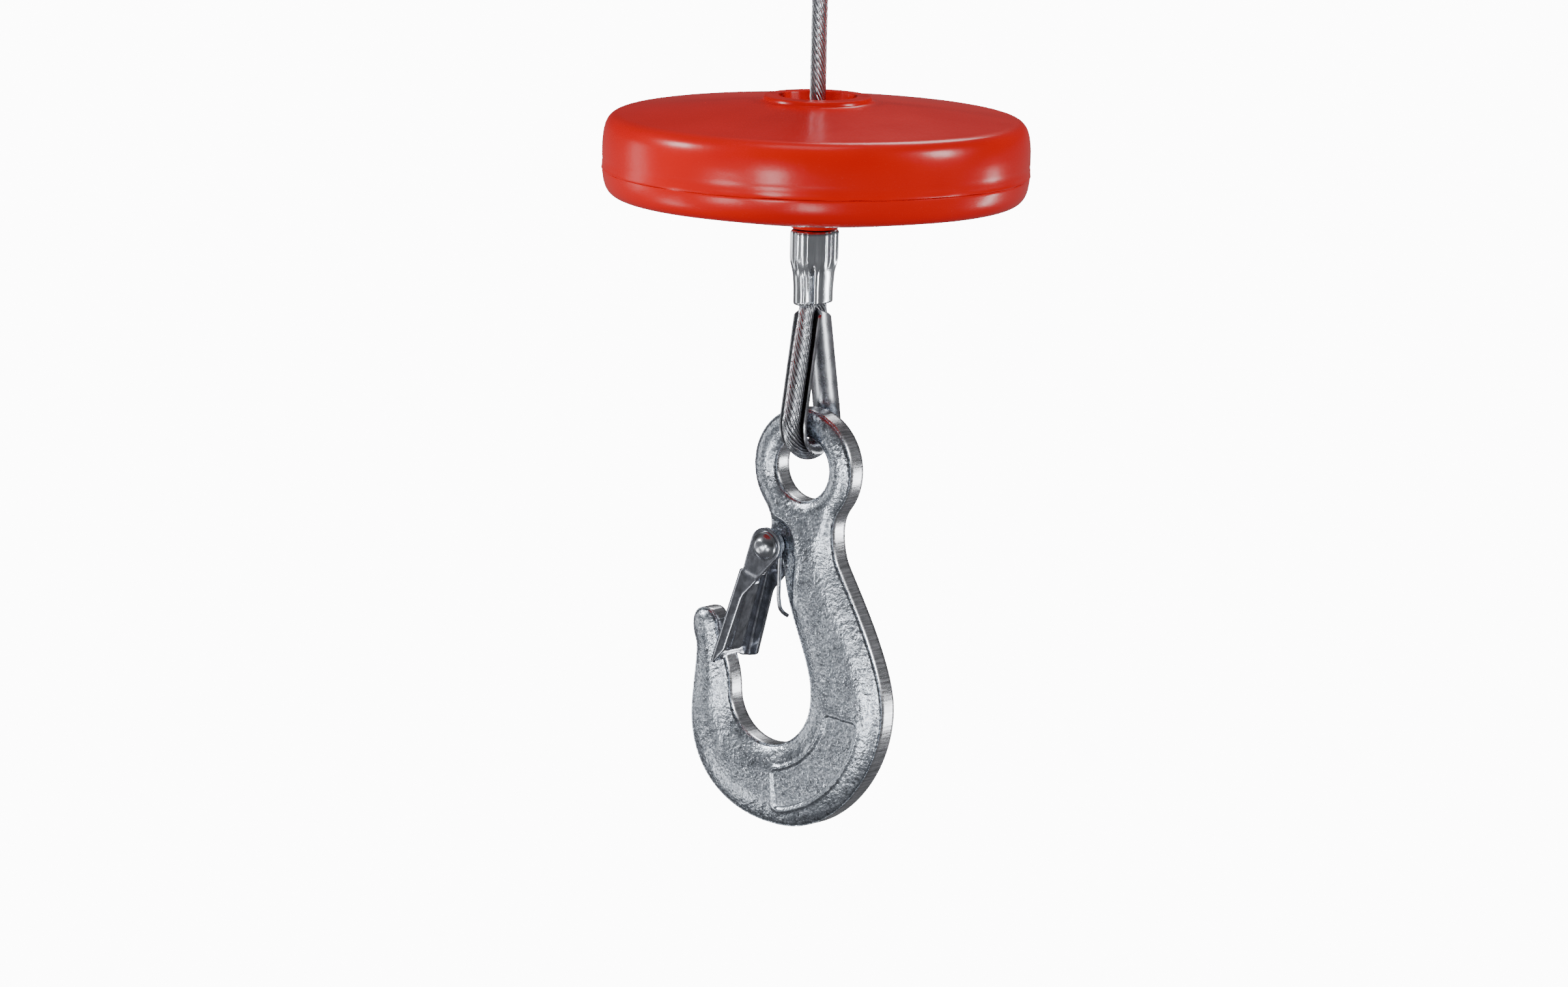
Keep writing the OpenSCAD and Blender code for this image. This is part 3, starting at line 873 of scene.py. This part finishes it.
# The seat round the rivet, and the line below it that the spring's leg lies along.
SEAT_R = 6.2
LANE_TOP = np.array([-7.1, -24.0])
LANE_FOOT = np.array([-7.0, -33.4])
# The angle and radius of the blank pad's middle, and half its length and width.
PAD_TURN = 45.5
PAD_R = 23.5
PAD_HALF_L = 14.4
PAD_HALF_W = 3.6
PAD_CORNER = 1.3


def hook_outline():
    """Clockwise from the left of the neck, measured from the middle of the eye."""
    return np.vstack([
        arc(0, 0, EYE_R, 218, -38, 64),
        curve((11.74, -9.17), (8.7, -12.8), (9.6, -18.4), (11, -22.5), 12),
        curve((11, -22.5), (13.2, -27), (26.2, -46.5), (26.1, -58), 24),
        curve((26.1, -58), (26.1, -74.5), (12, -90.2), (-3.5, -90.2), 32),
        curve((-3.5, -90.2), (-20.5, -90.2), (-33.1, -80.5), (-33.1, -65), 32),
        curve((-33.1, -65), (-33.1, -59), (-31.9, -54), (-31.9, -48.5), 10),
        curve((-31.9, -48.5), (-31.9, -46.5), (-33.1, -45.5), (-33.1, -42.6), 10),
        curve((-33.1, -42.6), (-33.1, -40.2), (-31.8, -38.4), (-29.6, -38.4), 10),
        curve((-29.6, -38.4), (-28.4, -38.4), (-27.6, -38.5), (-27.0, -39.1), 5),
        curve((-27.0, -39.1), (-26.4, -39.8), (-25.6, -40.8), (-25.4, -41.6), 5),
        curve((-25.4, -41.6), (-25.2, -46), (-21.2, -51), (-21, -57.8), 16),
        arc(BOWL[0], BOWL[1], BOWL_R, 182, 358, 60),
        curve((3.8, -57.8), (4.6, -48), (-3.6, -38.5), (-5, -26.5), 20),
        arc(PIN[0], PIN[1], LUG_R, -50, -250, 24),
        curve((-9.6, -16.2), (-8.9, -14.3), (-9.7, -12), (-11.5, -9.5), 10),
    ])


def ring_inside(loop, d):
    """Points a distance d inside a clockwise loop."""
    ahead = np.roll(loop, -1, 0) - np.roll(loop, 1, 0)
    ahead /= np.linalg.norm(ahead, axis=1)[:, None]
    return loop + d * np.stack([ahead[:, 1], -ahead[:, 0]], -1)


def recess(p):
    """Signed distance to the seat that the latch's ears and its spring lie in."""
    seat = np.linalg.norm(p - PIN, axis=1) - SEAT_R
    run = LANE_FOOT - LANE_TOP
    t = np.clip(((p - LANE_TOP) @ run) / (run @ run), 0, 1)
    lane = np.linalg.norm(p - (LANE_TOP + t[:, None] * run), axis=1) - (5.7 - 1.5 * t)
    return np.minimum(seat, lane)


def pad(p):
    """Signed distance to the blank marking pad, a part of a ring round the bowl."""
    q = p - BOWL
    r = np.hypot(q[:, 0], q[:, 1])
    a = np.degrees(np.arctan2(q[:, 1], q[:, 0]))
    dx = np.abs(r - PAD_R) - PAD_HALF_W
    dy = np.radians(np.abs(a + PAD_TURN)) * PAD_R - PAD_HALF_L
    outside = np.hypot(np.maximum(dx, 0), np.maximum(dy, 0))
    return outside + np.minimum(np.maximum(dx, dy), 0) - PAD_CORNER


def half_thickness(p, d_edge, d_hole, front):
    """Height of the forged face above the hook's middle plane."""
    in_eye = smooth(-21, -13, p[:, 1])
    in_tip = smooth(-54, -45, p[:, 1]) * smooth(-20, -23, p[:, 0])
    full = BODY_HALF - EYE_THINNER * in_eye - TIP_THINNER * in_tip
    reach = RISE - EYE_RISE_LESS * in_eye - TIP_RISE_LESS * in_tip
    t = np.minimum(np.clip(d_edge / reach, 0, 1), np.clip(d_hole / 3.5, 0, 1))
    near = np.minimum(d_edge, d_hole)
    dome = 1 - (1 - t) ** 2
    h = EDGE_HALF + (full - EDGE_HALF) * dome
    # A trimming line just inside the edge, then the forging's dips and grain.
    h -= 0.2 * np.exp(-((near - 0.32) / 0.14) ** 2)
    dip = fuzz(np.column_stack([p, np.full(len(p), 3.0 if front else 9.0)]), 5.0)
    rough = fuzz(np.column_stack([p, np.full(len(p), 5.0 if front else 2.0)]), 1.9)
    h += (0.1 * dip + 0.06 * rough) * smooth(0.8, 2.5, near)
    seat = recess(p)
    sunk = smooth(0.9, -0.5, seat)
    h = h * (1 - sunk) + np.minimum(h, EDGE_HALF) * sunk
    h += 0.28 * np.exp(-((seat - 1.5) / 0.6) ** 2) * smooth(0.6, 2.5, d_edge)
    if front:
        mark = pad(p)
        h += 0.34 * np.exp(-((mark - 0.5) / 0.42) ** 2) - 0.3 * smooth(0.2, -0.5, mark)
    return np.clip(h, 2.2, 4.35)


def hook_points(outline, hole):
    """Points over the hook's face: rows along its edges, then a grid, finer at its relief."""
    points = []
    for d in RIM_STEPS:
        q = ring_inside(outline, d)
        q = q[inside(q, outline)]
        points.append(q[np.abs(distance(q, outline) - d) < 0.04 + 0.05 * d])
        points.append(hole * (HOLE_R + d) / HOLE_R)
    coarse = hex_grid(HOOK_LOW, HOOK_HIGH, GRID)
    fine = hex_grid(HOOK_LOW, HOOK_HIGH, GRID / 2)
    fine = fine[(np.abs(recess(fine)) < 1.8) | (np.abs(pad(fine)) < 1.5)]
    coarse = coarse[(np.abs(recess(coarse)) >= 1.8) & (np.abs(pad(coarse)) >= 1.5)]
    grid = np.vstack([coarse, fine])
    grid = grid[inside(grid, outline)]
    points.append(grid[(distance(grid, outline) > 2.1) & (np.hypot(*grid.T) > HOLE_R + 2.1)])
    return np.vstack(points)


def make_hook():
    """Two forged faces, and a flat trimmed band round the edge and the eye's hole."""
    outline = resample(hook_outline(), 0.5, True)
    a = np.linspace(0, -2 * math.pi, 112, endpoint=False)
    hole = HOLE_R * np.stack([np.cos(a), np.sin(a)], -1)
    flat, tris = triangulate([outline, hole], hook_points(outline, hole))
    d_edge = distance(flat, outline)
    d_hole = np.abs(np.hypot(*flat.T) - HOLE_R)
    on_rim = (d_edge < 1e-4) | (d_hole < 0.02)
    sides = []
    for front in (True, False):
        h = half_thickness(flat, d_edge, d_hole, front)
        h[on_rim] = RIM_HALF
        sides.append(np.column_stack([flat[:, 0], -h if front else h, flat[:, 1] + EYE_Z]))
    count = len(flat)
    faces = [tuple(t) for t in tris] + [tuple(t[::-1] + count) for t in tris]
    near_rim = np.minimum(d_edge, d_hole) < 0.15
    marks = [1 if near_rim[t].all() else 0 for t in tris] * 2
    # The band: each rim point of the front is joined to the back's through four more points.
    edges = border_edges(tris)
    levels = np.linspace(-RIM_HALF, RIM_HALF, 6)[1:-1]
    strip = {}
    extra = []
    for v in sorted({i for e in edges for i in e}):
        between = [2 * count + len(extra) + k for k in range(len(levels))]
        strip[v] = [v] + between + [v + count]
        extra += [[flat[v, 0], y, flat[v, 1] + EYE_Z] for y in levels]
    for a, b in edges:
        for k in range(len(levels) + 1):
            faces.append((strip[b][k], strip[a][k], strip[a][k + 1], strip[b][k + 1]))
            marks.append(1)
    obj = piece("forged_hook", np.vstack(sides + [extra]), faces, [ZINC, BAND_ZINC], 50, marks)
    attach(obj, "hook", "hook_body")


make_hook()


def turned(points):
    """Points of a shape turned round Z, stood along the rivet's axis."""
    p = np.asarray(points, float)
    return np.column_stack([p[:, 0] + PIN[0], p[:, 2], p[:, 1] + PIN[1] + EYE_Z])


def make_rivet():
    """A pin with a domed head at each end, dimpled by its setting tool."""
    head = [(0.01, 8.8), (0.6, 8.76), (1.1, 8.62), (1.3, 8.6), (1.7, 8.48), (2.3, 8.1), (2.8, 7.6),
            (3.15, 7.1), (3.3, 6.9), (3.5, 6.84), (3.66, 6.6), (3.6, 6.34), (3.3, 6.3), (2.0, 6.3)]
    other = [(r, -z) for r, z in head[::-1]]
    verts, faces = lathe(head + [(2.0, 3.0), (2.0, -3.0)] + other, 72)
    obj = piece("rivet_domed", turned(verts), faces, [RIVET], 40)
    attach(obj, "hook", "latch_rivet")


make_rivet()


# ---------------------------------------------------------- latch

LATCH_LEAN = math.radians(16.8)
LATCH_L = 34.0
LATCH_T = 1.0
EAR_R = 4.6
# Where the web lies across the throat, from the rivet, and the radius of its folds.
WEB_V = -5.7
FOLD_R = 1.1
# Half the web's width in the flat pattern, and the length of pattern in a fold.
WEB_HALF = 5.0
FOLD_L = 1.7
# Where the pattern's flange starts, and half the latch's width at its ears and its foot.
FLANGE_FROM = WEB_HALF + FOLD_L
EARS_HALF = 5.7
FOOT_HALF = 7.5
WEB_TOP = 8.6


def latch_place(v, y, u):
    """Latch coordinates, across the throat, sideways and down, to the row frame."""
    c, s = math.cos(LATCH_LEAN), math.sin(LATCH_LEAN)
    return np.stack([PIN[0] + v * c - u * s, y, EYE_Z + PIN[1] - v * s - u * c], -1)


def fold(p):
    """Bends the latch's flat pattern, (across, down) in millimetres, into its channel."""
    across, u = p[:, 0], p[:, 1]
    q = np.abs(across)
    widening = np.clip((u - WEB_TOP) / (LATCH_L - WEB_TOP), 0, 1)
    half = EARS_HALF + (FOOT_HALF - EARS_HALF) * widening
    turn = np.clip((q - WEB_HALF) / FOLD_L, 0, 1) * math.pi / 2
    on_web = q / WEB_HALF * (half - FOLD_R)
    y = np.where(q < WEB_HALF, on_web, half - FOLD_R + FOLD_R * np.sin(turn))
    v = WEB_V + FOLD_R * (1 - np.cos(turn)) + np.maximum(q - FLANGE_FROM, 0)
    dent = smooth(3.1, 2.1, y) * smooth(11.2, 13.2, u) * smooth(31.4, 30.2, u)
    lip = smooth(31.2, 33.4, u) * smooth(5.6, 4.2, y)
    v = v + 0.95 * dent + 0.75 * lip
    y = y + 0.18 * smooth(9.4, 7.8, u) * smooth(FLANGE_FROM, FLANGE_FROM + 1, q)
    return latch_place(v, y * np.sign(across), u)


def flange_at(v):
    """How far across the flat pattern a flange's point at v is."""
    return FLANGE_FROM + v - WEB_V - FOLD_R


def half_pattern(cut):
    """One half of the latch's flat outline, from the top of its web to the foot of its web.
    cut is the height of the corner that is cut off its flange's foot."""
    ear = arc(0, 0, EAR_R, 180, -15, 40)
    ear = np.column_stack([flange_at(ear[:, 0]), -ear[:, 1]])
    edge = [(flange_at(0.6), 8.4), (flange_at(-1.0), 11.9), (flange_at(-2.2), 14.1),
            (flange_at(-2.5), 15.2), (flange_at(-2.7), LATCH_L - cut)]
    foot = [(flange_at(-3.5), LATCH_L - 0.62 * cut), (flange_at(-4.6), LATCH_L - 0.12 * cut),
            (flange_at(-5.0), LATCH_L), (WEB_HALF - 0.3, LATCH_L), (3.4, LATCH_L - 0.5),
            (2.4, LATCH_L - 1.1), (1.2, LATCH_L - 1.4)]
    start = [(3.6, 9.0), (WEB_HALF, 9.0), (WEB_HALF + 1.1, 8.8), (FLANGE_FROM, 8.1),
             (flange_at(-4.68), 5)]
    return np.vstack([start, ear, edge, foot])


def make_latch():
    """The latch: a flat pattern of sheet with two bores, folded, thickened and deburred."""
    far = half_pattern(1.2)
    near = half_pattern(4.6) * [-1, 1]
    outline = resample(round_corners(np.vstack([far, near[::-1]]), 0.25, 2), 0.45, True)
    a = np.linspace(0, 2 * math.pi, 28, endpoint=False)
    hole = 2.1 * np.stack([np.cos(a), np.sin(a)], -1)
    holes = [np.column_stack([s * (flange_at(0) + hole[:, 0]), hole[:, 1]]) for s in (1, -1)]
    grid = hex_grid((-17, -6), (17, 36), 0.5)
    grid = grid[inside(grid, outline)]
    keep = distance(grid, outline) > 0.3
    for h in holes:
        keep &= np.hypot(*(grid - h.mean(0)).T) > 2.4
    flat, tris = triangulate([outline] + holes, grid[keep])
    obj = piece("pressed_latch", fold(flat), tris, [LATCH], 60)
    thick = obj.modifiers.new("sheet", "SOLIDIFY")
    thick.thickness = LATCH_T * MM
    thick.offset = 0
    thick.use_even_offset = True
    soft = obj.modifiers.new("edges", "BEVEL")
    soft.width = 0.24 * MM
    soft.segments = 2
    soft.limit_method = "ANGLE"
    soft.angle_limit = math.radians(50)
    apply_modifiers(obj)
    obj.data.set_sharp_from_angle(angle=math.radians(40))
    attach(obj, "latch", "latch_plate")


make_latch()


# --------------------------------------------------------- spring

SPRING_R = 3.1
SPRING_TURNS = 2.125
SPRING_WIRE_R = 0.52


def half_spring(side):
    """The wire's route on one side: up the leg, round the coil and down to the bar's middle."""
    px, pz = PIN[0], PIN[1] + EYE_Z
    leg_x = px + SPRING_R
    leg = [(leg_x + 0.75, 1.5, pz - 17.6), (leg_x + 0.45, 2.6, pz - 16.9),
           (leg_x + 0.1, 3.7, pz - 15.6), (leg_x, 4.2, pz - 13.6),
           (leg_x, 4.35, pz - 9), (leg_x, 4.4, pz - 4)]
    a = np.linspace(0, 2 * math.pi * SPRING_TURNS, 60)
    y = np.linspace(4.4, 3.2, len(a))
    coil = [(px + SPRING_R * math.cos(t), h, pz + SPRING_R * math.sin(t)) for t, h in zip(a, y)]
    reach = np.array([(-3.05, 3.1, 3.0), (-3.3, 3.05, 6.5), (-3.75, 3.0, 9.2), (-3.85, 2.4, 10.3),
                      (-3.85, 1.2, 10.5)])
    down = latch_place(reach[:, 0], reach[:, 1], reach[:, 2])
    return np.vstack([leg, coil, down]) * [1, side, 1]


def make_spring():
    """One wire: a leg down each side of the shank, a coil on each end of the rivet, and the
    bar that joins them and presses on the latch."""
    line = spline(np.vstack([half_spring(-1), half_spring(1)[::-1]]), 0.3)
    along = directions(line)
    normal = np.zeros_like(line)
    n = np.cross(along[0], [0, 0, 1.0])
    for i, t in enumerate(along):
        n = n - t * (n @ t)
        n /= np.linalg.norm(n)
        normal[i] = n
    verts, faces = tube(line, normal, np.cross(along, normal), SPRING_WIRE_R, 12)
    obj = piece("spring_coiled", verts, faces, [SPRING], 50)
    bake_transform(obj)
    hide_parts("latch_spring")


make_spring()


# --------------------------------------- CAD pieces that stay shown

for node, material in (("guide_bush", NYLON), ("ballast_ring", IRON), ("shell_screws", STEEL)):
    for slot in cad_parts[node].material_slots:
        slot.material = material


# ---------------------------------------------------------- lights

LIGHTS_AT = Vector((0, 0, -0.12))
# Name, azimuth and elevation in degrees, distance and size in metres, power in watts.
LIGHTS = [
    ("key", 14, -3, 1.3, (0.26, 0.22), 3.8),
    ("left", -72, -2, 1.2, (0.3, 0.5), 1.1),
    ("fill_left", -46, 27, 1.5, (0.3, 0.3), 11.0),
    ("face", -12, -13, 1.5, (0.36, 0.3), 4.6),
    ("low", -52, -26, 1.4, (0.3, 0.3), 1.5),
    ("front_low", 34, -23, 1.4, (0.25, 0.25), 3.2),
    ("right", 146, -13, 1.3, (0.16, 0.36), 3.4),
    ("fill_right", 110, 24, 1.5, (0.3, 0.4), 11.5),
    ("back", -160, 48, 1.5, (0.5, 0.5), 6.0),
    ("top", 20, 76, 1.4, (0.6, 0.6), 2.2),
]
# What the metal mirrors: (height from 0 straight down to 1 straight up, brightness).
SKY = [(0.1, 0.12), (0.42, 0.2), (0.5, 0.12), (0.56, 0.06), (0.72, 0.08), (1.0, 0.2)]
WHITE_BEHIND = 12.0


def add_light(name, azimuth, elevation, far, size, power):
    """A rectangular lamp that looks at the hook and isn't seen itself."""
    out = aim(azimuth, elevation)
    data = bpy.data.lights.new(name, "AREA")
    data.shape = "RECTANGLE"
    data.size, data.size_y = size
    data.energy = power
    lamp = bpy.data.objects.new(name, data)
    bpy.context.scene.collection.objects.link(lamp)
    turn = out.to_track_quat("Z", "Y").to_matrix().to_4x4()
    lamp.matrix_world = Matrix.Translation(LIGHTS_AT + out * far) @ turn
    lamp.visible_camera = False


def add_world():
    """White to the camera; what the metal mirrors is dim, lighter above and below."""
    world = bpy.data.worlds.new("studio")
    world.use_nodes = True
    bpy.context.scene.world = world
    tree = world.node_tree
    tree.nodes.clear()
    out = tree.nodes.new("ShaderNodeOutputWorld")
    coord = tree.nodes.new("ShaderNodeTexCoord")
    split = tree.nodes.new("ShaderNodeSeparateXYZ")
    tree.links.new(coord.outputs["Generated"], split.inputs[0])
    height = tree.nodes.new("ShaderNodeValToRGB")
    stops = height.color_ramp.elements
    while len(stops) < len(SKY):
        stops.new(0.5)
    for stop, (at, v) in zip(stops, SKY):
        stop.position = at
        stop.color = (v, v, v * 1.03, 1)
    rise = tree.nodes.new("ShaderNodeMapRange")
    rise.inputs["From Min"].default_value = -1
    tree.links.new(split.outputs["Z"], rise.inputs["Value"])
    tree.links.new(rise.outputs["Result"], height.inputs["Fac"])
    seen = tree.nodes.new("ShaderNodeLightPath")
    lit = tree.nodes.new("ShaderNodeBackground")
    lit.inputs["Strength"].default_value = 1.0
    tree.links.new(height.outputs["Color"], lit.inputs["Color"])
    shown = tree.nodes.new("ShaderNodeBackground")
    shown.inputs["Color"].default_value = (1, 1, 1, 1)
    shown.inputs["Strength"].default_value = WHITE_BEHIND
    pick = tree.nodes.new("ShaderNodeMixShader")
    tree.links.new(seen.outputs["Is Camera Ray"], pick.inputs[0])
    tree.links.new(lit.outputs[0], pick.inputs[1])
    tree.links.new(shown.outputs[0], pick.inputs[2])
    tree.links.new(pick.outputs[0], out.inputs["Surface"])


add_world()
for light in LIGHTS:
    add_light(*light)
